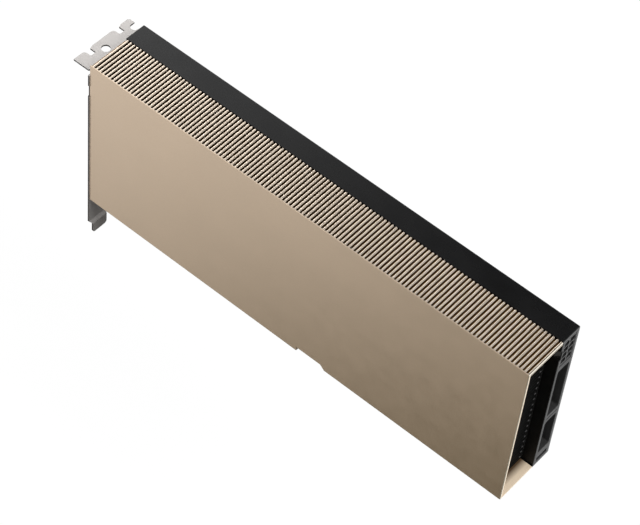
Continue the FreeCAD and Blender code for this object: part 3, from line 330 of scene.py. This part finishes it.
def gold_material():
    """Blasted, anodised aluminium, with painted shade in the grooves between the ribs, on the lower end
    lip and in the duct towards the fins, and painted highlights on the rib tops and on the rim at the
    power end.
    """
    surface = Surface("cover_gold", GOLD, 0.42, metallic=0.9)
    low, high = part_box("front_cover")
    cloud = surface.spread(surface.noise(45, detail=2), 0, 1)
    tint = surface.blend(cloud, scaled(GOLD, 0.98), scaled(GOLD, 1.02))
    speck = surface.spread(surface.noise(0.35, detail=2), 0, 0.25)
    tint = surface.blend(speck, tint, scaled(GOLD, 0.85))

    behind_front = surface.above(Y, low.y + RIBS_FROM_FRONT)
    ribbed = surface.times(behind_front, surface.below(X, high.x - RIBS_FROM_END, soft=0.03))
    # Painted highlight: the top of each rib is painted a lighter, whiter gold
    highlighted_rib_tops = surface.times(ribbed, surface.above(Z, high.z - RIB_TOP_DEPTH))
    tint = surface.blend(highlighted_rib_tops, tint, RIB_TOP_HIGHLIGHT)

    # Painted highlight: the end faces and chamfer at the power end are painted near white
    rim = surface.above(X, high.x - RIM_HIGHLIGHT_DEPTH)
    tint = surface.blend(rim, tint, RIM_HIGHLIGHT)
    # Painted shade: the lower part of the top wall's end face at the mouth is painted as dark as the
    # groove walls
    lip_shade = surface.times(rim, surface.above(Y, low.y + LIP_FROM_FRONT))
    lip_shade = surface.times(lip_shade, surface.below(Z, high.z - LIP_SHADE_START))
    lip_shade = surface.times(lip_shade, surface.above(Z, high.z - LIP_SHADE_END))
    tint = surface.blend(lip_shade, tint, GROOVE_WALL_SHADE)

    duct = surface.times(surface.above(Y, low.y + DUCT_WALL), surface.above(Z, low.z + DUCT_WALL))
    duct = surface.times(duct, surface.below(Z, high.z - TOP_AREA_DEPTH))
    # Painted shade: the inside of the duct darkens from gold near the mouth to near black at the fins
    duct_shade = surface.spread(surface.along(X), 1, 0, high.x - DUCT_SHADE_FULL, high.x - DUCT_SHADE_START)
    tint = surface.blend(duct, tint, surface.blend(duct_shade, DUCT_GOLD, DUCT_PAINTED_SHADE))

    # Painted shade: the grooves darken with depth, and their floors are painted a lighter brown than their
    # walls
    depth = surface.spread(surface.along(Z), 1, 0, high.z - GROOVE_SHADE_FULL, high.z - GROOVE_SHADE_START)
    shaded_grooves = surface.times(ribbed, surface.times(depth, surface.above(Z, high.z - TOP_AREA_DEPTH)))
    groove_shade_colour = surface.blend(surface.below(Z, high.z - GROOVE_FLOOR_DEPTH), GROOVE_WALL_SHADE, GROOVE_FLOOR_SHADE)
    surface.paint(surface.blend(shaded_grooves, tint, groove_shade_colour))

    surface.feed("Metallic", surface.spread(duct, 0.95, 0.1, 0, 1))
    surface.roughen(surface.spread(surface.noise(9), 0.40, 0.44))
    surface.relief(surface.noise(0.28, detail=2), 0.012)
    return surface.material


def fin_material():
    """Near-black fins. The sheared edges of every second one and of the folds are painted lighter, as
    painted highlights.
    """
    surface = Surface("fin_dark", FIN_DARK, 0.5, specular=0.05)
    low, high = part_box("fin_stack")
    fin = surface.times(surface.minus(surface.along(Z), low.z), 1 / FIN_PITCH)
    pair = surface.fraction(surface.times(fin, 0.5))
    second = surface.spread(pair, 0, 1, 0.5 - FIN_BORDER, 0.5 + FIN_BORDER)
    # Painted highlights: the ends of every second fin, and of the folds in the gaps, are painted lighter
    edge = surface.blend(second, FIN_EDGE, FIN_EDGE_HIGHLIGHT)
    over_fin = FIN_THICKNESS / FIN_PITCH + FOLD_LIGHT_START
    fold_glint = surface.spread(surface.fraction(fin), 0, 1, over_fin - FIN_BORDER, over_fin + FIN_BORDER)
    fold_glint = surface.times(fold_glint, surface.below(Y, high.y - FIN_FOOT))
    edge = surface.blend(fold_glint, edge, FOLD_GLINT)
    surface.paint(surface.blend(surface.above(X, high.x - FIN_END_DEPTH), FIN_DARK, edge))
    surface.roughen(surface.spread(surface.noise(2), 0.45, 0.55))
    surface.relief(surface.noise(0.3, detail=2), 0.006)
    return surface.material


def black_material():
    """Satin black coat with a fine speckle."""
    surface = Surface("cover_black", SATIN_BLACK, 0.27, specular=0.42)
    speck = surface.spread(surface.noise(0.4, detail=2), 0, 1)
    surface.paint(surface.blend(speck, scaled(SATIN_BLACK, 0.8), scaled(SATIN_BLACK, 1.25)))
    surface.roughen(surface.spread(surface.noise(12), 0.25, 0.29))
    surface.relief(surface.noise(0.25, detail=2), 0.008)
    return surface.material


def frame_material():
    """Black end frame, with a painted highlight on its rim at the power end and painted shade on its side
    towards the duct.
    """
    surface = Surface("frame_black", FRAME_BLACK, 0.5, specular=0.12)
    low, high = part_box("rear_frame")
    speck = surface.spread(surface.noise(0.45, detail=2), 0, 1)
    tint = surface.blend(speck, scaled(FRAME_BLACK, 0.8), scaled(FRAME_BLACK, 1.2))
    # Painted highlight: the frame's rim at the power end is painted a lighter grey
    tint = surface.blend(surface.above(X, high.x - FRAME_RIM_DEPTH), tint, FRAME_RIM_HIGHLIGHT)
    # Painted shade: the frame's side towards the duct, behind the rim, is painted near black
    behind_rim = surface.below(X, high.x - FRAME_RIM_DEPTH)
    shaded_duct_side = surface.times(surface.below(Y, low.y + FRAME_DUCT_SIDE), behind_rim)
    surface.paint(surface.blend(shaded_duct_side, tint, DUCT_SIDE_SHADE))
    surface.roughen(surface.spread(surface.noise(6), 0.44, 0.58))
    surface.relief(surface.noise(0.3, detail=2), 0.01)
    return surface.material


def plastic_material(name, colour, roughness, grain=0.25):
    """Moulded plastic with a fine spark-eroded grain."""
    surface = Surface(name, colour, roughness)
    cloud = surface.spread(surface.noise(3), 0, 1)
    surface.paint(surface.blend(cloud, scaled(colour, 0.85), scaled(colour, 1.2)))
    surface.roughen(surface.spread(surface.noise(1.5), roughness - 0.06, roughness + 0.06))
    surface.relief(surface.noise(grain, detail=2), 0.008)
    return surface.material


def metal_material(name, colour, roughness, brushed=None):
    """Metal with soft clouding, and fine lines along an axis where it is rolled or brushed."""
    surface = Surface(name, colour, roughness, metallic=1.0)
    cloud = surface.spread(surface.noise(14, detail=3), 0, 1)
    surface.paint(surface.blend(cloud, scaled(colour, 0.94), scaled(colour, 1.06)))
    if brushed:
        lines = surface.noise(0.25, detail=3, stretch=brushed)
        surface.roughen(surface.spread(lines, roughness - 0.07, roughness + 0.09))
        surface.relief(lines, 0.004)
    else:
        surface.roughen(surface.spread(surface.noise(4), roughness - 0.05, roughness + 0.05))
        surface.relief(surface.noise(0.3, detail=2), 0.004)
    return surface.material


def bracket_material():
    """Nickel-plated sheet, whose punched edges are painted dark as a painted dark reflection."""
    surface = Surface("plated_steel", NICKEL, 0.34, metallic=0.75)
    cloud = surface.spread(surface.noise(14, detail=3), 0, 1)
    tint = surface.blend(cloud, scaled(NICKEL, 0.96), scaled(NICKEL, 1.04))
    sideways = surface.either(surface.facing(X), surface.facing(Y))
    tab_edge = surface.times(surface.below(X, BRACKET_BEND), sideways)
    level_edge = surface.times(surface.facing(Z), surface.below(Z, -PLATE_EDGE_DROP))
    plate_edge = surface.either(surface.facing(Y), level_edge)
    plate_edge = surface.times(surface.above(X, BRACKET_BEND), plate_edge)
    # Painted dark reflection on the bracket's punched edges
    surface.paint(surface.blend(surface.either(tab_edge, plate_edge), tint, EDGE_DARK_REFLECTION))
    lines = surface.noise(0.25, detail=3, stretch=(0.06, 1, 1))
    surface.roughen(surface.spread(lines, 0.30, 0.40))
    surface.relief(lines, 0.003)
    return surface.material


def board_material():
    """Black solder mask, with copper areas that show just raised under it."""
    surface = Surface("board_black", BOARD_BLACK, 0.3)
    inputs = {"Vector": surface.coordinates, "Scale": COPPER_CELLS}
    cells = surface.node("TexVoronoi", inputs, distance="MANHATTAN")
    areas = surface.spread(cells.outputs["Distance"], 0, 1, 0.25, 0.3)
    surface.paint(surface.blend(areas, scaled(BOARD_BLACK, 0.7), scaled(BOARD_BLACK, 1.8)))
    surface.roughen(surface.spread(surface.noise(5), 0.26, 0.36))
    surface.relief(areas, 0.02)
    return surface.material


def film_material():
    """Insulating film, a little wavy."""
    surface = Surface("film_black", FILM_BLACK, 0.35)
    surface.paint(surface.blend(surface.noise(8), FILM_DARK, FILM_LIGHT))
    surface.roughen(surface.spread(surface.noise(20, detail=2), 0.25, 0.45))
    surface.relief(surface.noise(10, detail=1), 0.05)
    return surface.material


def pad_material():
    """Soft, dull thermal pad."""
    surface = Surface("pad_grey", PAD_GREY, 0.8)
    surface.paint(surface.blend(surface.noise(0.6), scaled(PAD_GREY, 0.85), scaled(PAD_GREY, 1.15)))
    surface.roughen(surface.spread(surface.noise(2), 0.7, 0.9))
    surface.relief(surface.noise(0.5), 0.02)
    return surface.material


def die_material():
    """Bare, polished silicon."""
    surface = Surface("die_grey", DIE_GREY, 0.12, metallic=0.6)
    surface.paint(surface.blend(surface.noise(6, detail=1), scaled(DIE_GREY, 0.85), scaled(DIE_GREY, 1.2)))
    surface.roughen(surface.spread(surface.noise(3), 0.08, 0.16))
    return surface.material


MATERIALS = {
    "cover_gold": gold_material(),
    "cover_black": black_material(),
    "frame_black": frame_material(),
    "header_black": plastic_material("header_black", NYLON_BLACK, 0.42),
    "tinned_brass": metal_material("tinned_brass", TIN, 0.28),
    "plated_steel": bracket_material(),
    "board_black": board_material(),
    "contact_gold": metal_material("contact_gold", CONTACT_GOLD, 0.26),
    "substrate_green": plastic_material("substrate_green", SUBSTRATE_GREEN, 0.3),
    "die_grey": die_material(),
    "package_black": plastic_material("package_black", PACKAGE_BLACK, 0.5),
    "pad_grey": pad_material(),
    "choke_grey": plastic_material("choke_grey", CHOKE_GREY, 0.6, grain=0.4),
    "can_aluminium": metal_material("can_aluminium", ALUMINIUM, 0.25),
    "fin_dark": fin_material(),
    # The heatsink base's near-black colour is painted shade
    "sink_aluminium": metal_material("sink_aluminium", SINK_SHADE, 0.4, brushed=(0.05, 1, 1)),
    "spring_steel": metal_material("spring_steel", STEEL, 0.3, brushed=(0.1, 1, 1)),
    "film_black": film_material(),
    "screw_black": metal_material("screw_black", SCREW_BLACK, 0.35),
}


def dress_nodes():
    """Give every carried-over node the material of its slot."""
    slots = {part["node"]: part["material_slot"] for part in frame["record"]["subparts"]}
    for name, node in frame["nodes"].items():
        node.data.materials.clear()
        node.data.materials.append(MATERIALS[slots[name]])


# Pieces

def add_object(name, mesh):
    """Put a bmesh, built in the row frame, into the scene."""
    data = bpy.data.meshes.new(name)
    mesh.to_mesh(data)
    mesh.free()
    made = bpy.data.objects.new(name, data)
    bpy.context.scene.collection.objects.link(made)
    return made


def add_piece(name, mesh, slot, smooth_angle=None):
    """Turn a bmesh in the row frame into a piece that rides on the card."""
    piece = add_object(name, mesh)
    if smooth_angle:
        piece.data.shade_smooth()
        piece.data.set_sharp_from_angle(angle=math.radians(smooth_angle))
    piece.data.materials.append(MATERIALS[slot])
    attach(piece, "root")
    return piece


def islands(node):
    """Lowest and highest corners of each separate solid of a node."""
    mesh = bmesh.new()
    mesh.from_mesh(frame["nodes"][node].data)
    bmesh.ops.remove_doubles(mesh, verts=mesh.verts, dist=WELD_DISTANCE)
    left = set(mesh.verts)
    found = []
    while left:
        group = [left.pop()]
        for vertex in group:
            for edge in vertex.link_edges:
                other = edge.other_vert(vertex)
                if other in left:
                    left.remove(other)
                    group.append(other)
        low = Vector([min(v.co[k] for v in group) for k in range(3)])
        high = Vector([max(v.co[k] for v in group) for k in range(3)])
        found.append((low, high))
    mesh.free()
    return sorted(found, key=lambda corners: tuple(round(value, 5) for value in corners[0]))


def ring(mesh, points):
    return [mesh.verts.new(point) for point in points]


def bridge(mesh, first, second):
    """Join two rings of as many points with quads."""
    count = len(first)
    for k in range(count):
        mesh.faces.new((first[k], first[(k + 1) % count], second[(k + 1) % count], second[k]))


def screw(mesh, place, profile, recess, depth):
    """A screw about its own z axis: profile points of (radius, height), and a lobed recess in its top."""
    angles = [2 * math.pi * k / SCREW_SEGMENTS for k in range(SCREW_SEGMENTS)]
    waist = recess * RECESS_WAIST
    lobes = [(recess + waist) / 2 + (recess - waist) / 2 * math.cos(RECESS_LOBES * a) for a in angles]

    def loop(radii, height):
        points = [Vector((r * math.cos(a), r * math.sin(a), height)) for r, a in zip(radii, angles)]
        return ring(mesh, [place @ point for point in points])

    top = profile[0][1]
    floor = loop(lobes, top - depth)
    last = loop(lobes, top)
    mesh.faces.new(floor)
    bridge(mesh, last, floor)
    for radius, height in profile:
        here = loop([radius] * SCREW_SEGMENTS, height)
        bridge(mesh, here, last)
        last = here
    mesh.faces.new(list(reversed(last)))


def screws(node, slot, profile_of, recess, depth, axis=Y, way=1):
    """Replace a node's plain screws by ones with a rolled head and a driver recess."""
    mesh = bmesh.new()
    direction = Vector([way if k == axis else 0 for k in range(3)])
    turn = direction.to_track_quat("Z", "Y").to_matrix().to_4x4()
    for low, high in islands(node):
        centre = (low + high) / 2
        centre[axis] = high[axis] if way > 0 else low[axis]
        length = high[axis] - low[axis]
        radius = (high[(axis + 1) % 3] - low[(axis + 1) % 3]) / 2
        spin = Matrix.Rotation(random.uniform(0, math.pi), 4, "Z")
        place = Matrix.Translation(centre) @ (turn @ spin)
        screw(mesh, place, profile_of(radius, length), recess, depth)
    piece = add_piece(node + "_detailed", mesh, slot, smooth_angle=SCREW_SMOOTH_ANGLE)
    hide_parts(node)


def flat_head(shank):
    """Profile of a countersunk screw: flat top with a broken edge, cone and shank."""
    def profile(radius, length):
        edge = FLAT_HEAD_EDGE
        cone = radius - shank
        head = [(radius - edge, 0), (radius, -edge), (radius, -edge - FLAT_HEAD_LAND)]
        return head + [(shank, -cone), (shank, -length + edge), (shank - edge, -length)]
    return profile


def pan_head(shank):
    """Profile of a low pan-headed screw with a domed rim."""
    def profile(radius, length):
        points = []
        rim = PAN_HEAD_RIM
        for k in range(PAN_HEAD_STEPS + 1):
            angle = math.pi / 2 * k / PAN_HEAD_STEPS
            points.append((radius - rim + rim * math.sin(angle), -rim + rim * math.cos(angle)))
        return points + [(radius, -PAN_HEAD_HEIGHT), (shank, -PAN_HEAD_HEIGHT), (shank, -length)]
    return profile


def all_screws():
    """Countersunk black screws in the covers and the frame, and pan-headed steel ones inside."""
    screws("back_cover_screws", "screw_black", flat_head(shank=1.0 * MM), recess=0.95 * MM, depth=0.7 * MM)
    screws("frame_screws", "screw_black", flat_head(shank=1.0 * MM), recess=0.95 * MM, depth=0.7 * MM)
    screws("cover_screws", "screw_black", flat_head(shank=0.8 * MM), recess=0.75 * MM, depth=0.5 * MM,
           axis=Z, way=-1)
    screws("bracket_screws", "spring_steel", pan_head(shank=1.45 * MM), recess=1.1 * MM, depth=0.5 * MM)
    screws("spring_screws", "spring_steel", pan_head(shank=0.95 * MM), recess=0.9 * MM, depth=0.5 * MM)


def fin_folds():
    """Folded tabs that lock the fins together, near base and tips, at both ends of every third fin."""
    mesh = bmesh.new()
    low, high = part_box("fin_stack")
    gap = FIN_PITCH - FIN_THICKNESS
    shoulder = gap * FOLD_SHOULDER
    outline = [(0, 0), (FOLD_REACH, 0), (FOLD_REACH, shoulder), (FOLD_REACH * FOLD_TOP_END, gap),
               (FOLD_REACH * FOLD_TOP_START, gap), (0, shoulder)]
    count = int((high.z - low.z - FIN_THICKNESS) / FIN_PITCH) + 1
    for k in range(1, count, FOLD_EVERY):
        z = low.z + FIN_PITCH * k + FIN_THICKNESS
        for end, way in ((low.x, 1), (high.x, -1)):
            for y in (high.y - FOLD_FROM_BASE, low.y + FOLD_FROM_TIPS):
                front = ring(mesh, [Vector((end + way * a, y, z + b)) for a, b in outline])
                back = ring(mesh, [Vector((end + way * a, y + FOLD_WIDTH, z + b)) for a, b in outline])
                bridge(mesh, front, back)
                mesh.faces.new(front)
                mesh.faces.new(list(reversed(back)))
    bmesh.ops.recalc_face_normals(mesh, faces=mesh.faces)
    add_piece("fin_folds", mesh, "fin_dark")


def chamfered_block(mesh, centre, size, chamfer):
    """A block with broken edges, as moulded and pressed packages have."""
    made = bmesh.ops.create_cube(mesh, size=1.0)
    verts = made["verts"]
    bmesh.ops.scale(mesh, vec=size, verts=verts)
    bmesh.ops.translate(mesh, vec=centre, verts=verts)
    edges = list({edge for vertex in verts for edge in vertex.link_edges})
    bmesh.ops.bevel(mesh, geom=edges, offset=chamfer, segments=1, affect="EDGES")


def steps(start, end, pitch):
    """Places a pitch apart, from the start to before the end."""
    place = start
    while place < end:
        yield place
        place += pitch


def taken_places():
    """Corners of what stands on the board already, with room for the drivers round the screws."""
    standing = ("memory_chips", "power_stages", "chokes", "capacitors", "bridge_chip",
                "processor_substrates", "header_pins")
    taken = [corners for node in standing for corners in islands(node)]
    room = Vector((SCREW_CLEARANCE, 0, SCREW_CLEARANCE))
    for low, high in islands("back_cover_screws") + islands("spring_screws"):
        taken.append((low - room, high + room))
    return taken


def is_free(x, z, room_x, room_z, taken):
    """Whether the room round a place on the board keeps clear of all that is taken."""
    for low, high in taken:
        beside = x + room_x < low.x or x - room_x > high.x
        over_or_under = z + room_z < low.z or z - room_z > high.z
        if not beside and not over_or_under:
            return False
    return True


def board_passives():
    """Small resistors and capacitors on the board's front, in rows where there is room."""
    board_low, board_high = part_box("circuit_board")
    bodies = bmesh.new()
    ends = bmesh.new()
    taken = taken_places()
    size = PASSIVE_SIZE
    room_x = size.x / 2 + CHIP_CLEARANCE
    room_z = size.z / 2 + CHIP_CLEARANCE
    body_size = Vector((size.x * PASSIVE_BODY_LENGTH, size.y, size.z * PASSIVE_BODY_WIDTH))
    cap_size = Vector((size.x * PASSIVE_CAP_LENGTH, size.y, size.z))
    cap_at = Vector((size.x * (1 - PASSIVE_CAP_LENGTH) / 2, 0, 0))
    for x in steps(board_low.x + ROWS_FROM_BRACKET, board_high.x - ROWS_FROM_END, PASSIVE_PITCH_X):
        for z in steps(board_low.z + ROWS_FROM_BOTTOM, board_high.z - ROWS_FROM_TOP, PASSIVE_PITCH_Z):
            if is_free(x, z, room_x, room_z, taken) and random.random() < PASSIVE_SHARE:
                centre = Vector((x, board_low.y - size.y / 2, z))
                chamfered_block(bodies, centre, body_size, PASSIVE_CHAMFER)
                chamfered_block(ends, centre - cap_at, cap_size, PASSIVE_CHAMFER)
                chamfered_block(ends, centre + cap_at, cap_size, PASSIVE_CHAMFER)
    add_piece("passive_bodies", bodies, "choke_grey")
    add_piece("passive_ends", ends, "tinned_brass")


# Stage

def seen_directly(nodes, links):
    """1 for what the camera sees, also in a reflection or through a clear piece, and 0 for soft light."""
    path = nodes.new("ShaderNodeLightPath")
    seen = path.outputs["Is Camera Ray"]
    for name in ("Is Glossy Ray", "Is Transmission Ray"):
        either = nodes.new("ShaderNodeMath")
        either.operation = "MAXIMUM"
        links.new(seen, either.inputs[0])
        links.new(path.outputs[name], either.inputs[1])
        seen = either.outputs[0]
    return seen


def build_floor():
    """White floor under the card, which looks as white as the world and still takes a soft shadow."""
    mesh = bmesh.new()
    bmesh.ops.create_grid(mesh, x_segments=1, y_segments=1, size=FLOOR_HALF_WIDTH)
    bmesh.ops.translate(mesh, vec=(FLOOR_MIDDLE_X, 0, cad_box[0][Z] - FLOOR_DROP), verts=mesh.verts)
    floor = add_object("floor", mesh)
    surface = Surface("floor_white", FLOOR_WHITE, 0.9)
    share = surface.times(seen_directly(surface.nodes, surface.links), FLOOR_GLOW_SHARE)
    surface.show_mix(share, surface.shader.outputs[0], WHITE)
    floor.data.materials.append(surface.material)


def build_world():
    """White surroundings, weaker as a light than they look."""
    world = bpy.data.worlds.new("studio")
    bpy.context.scene.world = world
    world.use_nodes = True
    nodes = world.node_tree.nodes
    links = world.node_tree.links
    background = nodes["Background"]
    background.inputs["Color"].default_value = (*WHITE, 1)
    level = nodes.new("ShaderNodeMapRange")
    level.inputs["To Min"].default_value = WORLD_LIGHT
    level.inputs["To Max"].default_value = WORLD_SEEN
    links.new(seen_directly(nodes, links), level.inputs["Value"])
    links.new(level.outputs[0], background.inputs["Strength"])


def flag(name, x_span, y_span, height, colour, way, start, end):
    """Level dark board that only reflections see. It fades in along a way, from a start to an end."""
    mesh = bmesh.new()
    left, right = x_span
    near, far = y_span
    corners = ((left, near, height), (right, near, height), (right, far, height), (left, far, height))
    mesh.faces.new(ring(mesh, corners))
    board = add_object(name, mesh)
    surface = Surface(name, colour, 1.0, specular=0.0)
    place = surface.node("VectorMath", {0: surface.coordinates, 1: way}, operation="DOT_PRODUCT")
    share = surface.spread(place.outputs["Value"], 0, 1, start, end)
    surface.show_mix(share, surface.node("BsdfTransparent", {}).outputs[0], colour)
    board.data.materials.append(surface.material)
    board.visible_camera = False
    board.visible_diffuse = False
    board.visible_shadow = False
    board.visible_transmission = False


def build_flags():
    """One in front of the card, one right under it and one over it."""
    bottom = cad_box[0][Z]
    flag("flag_low", x_span=(-0.5, 1.6), y_span=(-1.4, -0.04), height=bottom - 0.20, colour=FLAG_WARM,
         way=(0.625, 0.780, 0), start=-0.30, end=-0.05)
    flag("flag_under", x_span=(-0.03, 0.26), y_span=(-0.02, 0.3), height=bottom - 0.05, colour=FLAG_GREY,
         way=(1, 0, 0), start=-1, end=-0.5)
    flag("flag_high", x_span=(-0.6, 1.2), y_span=(-0.2, 1.2), height=0.55, colour=FLAG_BLACK,
         way=(1, 0, 0), start=-0.32, end=0.0)


def area_light(name, way, reach, size, power):
    """Soft lamp that looks at the card's middle, from reach times the way off it."""
    light = bpy.data.lights.new(name, "AREA")
    light.shape = "RECTANGLE"
    light.size, light.size_y = size
    light.energy = power
    lamp = bpy.data.objects.new(name, light)
    bpy.context.scene.collection.objects.link(lamp)
    centre = (Vector(cad_box[0]) + Vector(cad_box[1])) / 2
    lamp.location = centre + Vector(way) * reach
    lamp.rotation_euler = (centre - lamp.location).to_track_quat("-Z", "Y").to_euler()


def build_lights():
    area_light("key", way=(-0.78, 0.51, 0.37), reach=1.2, size=(0.5, 0.4), power=6)
    area_light("top", way=(0.2, 0.45, 0.86), reach=1.5, size=(0.4, 0.4), power=3)
    area_light("fill", way=(-0.9, -1.1, 0.3), reach=1.0, size=(0.9, 0.9), power=3)
    area_light("side", way=(0.71, -0.10, 0.69), reach=1.3, size=(0.4, 0.4), power=16)


def build_camera():
    data = bpy.data.cameras.new("camera")
    data.sensor_fit = "HORIZONTAL"
    data.sensor_width = SENSOR
    data.lens = FOCAL_PIXELS / IMAGE_WIDTH * SENSOR
    data.clip_start = CLIP_NEAR
    data.clip_end = CLIP_FAR
    camera = bpy.data.objects.new("camera", data)
    bpy.context.scene.collection.objects.link(camera)
    turn = Matrix((CAMERA_RIGHT, -CAMERA_DOWN, -CAMERA_FORWARD)).transposed()
    camera.matrix_world = Matrix.Translation(CAMERA_AT) @ turn.to_4x4()
    bpy.context.scene.camera = camera


dress_nodes()
all_screws()
fin_folds()
board_passives()
build_floor()
build_world()
build_lights()
build_flags()
build_camera()
bpy.context.scene.view_settings.view_transform = "Standard"
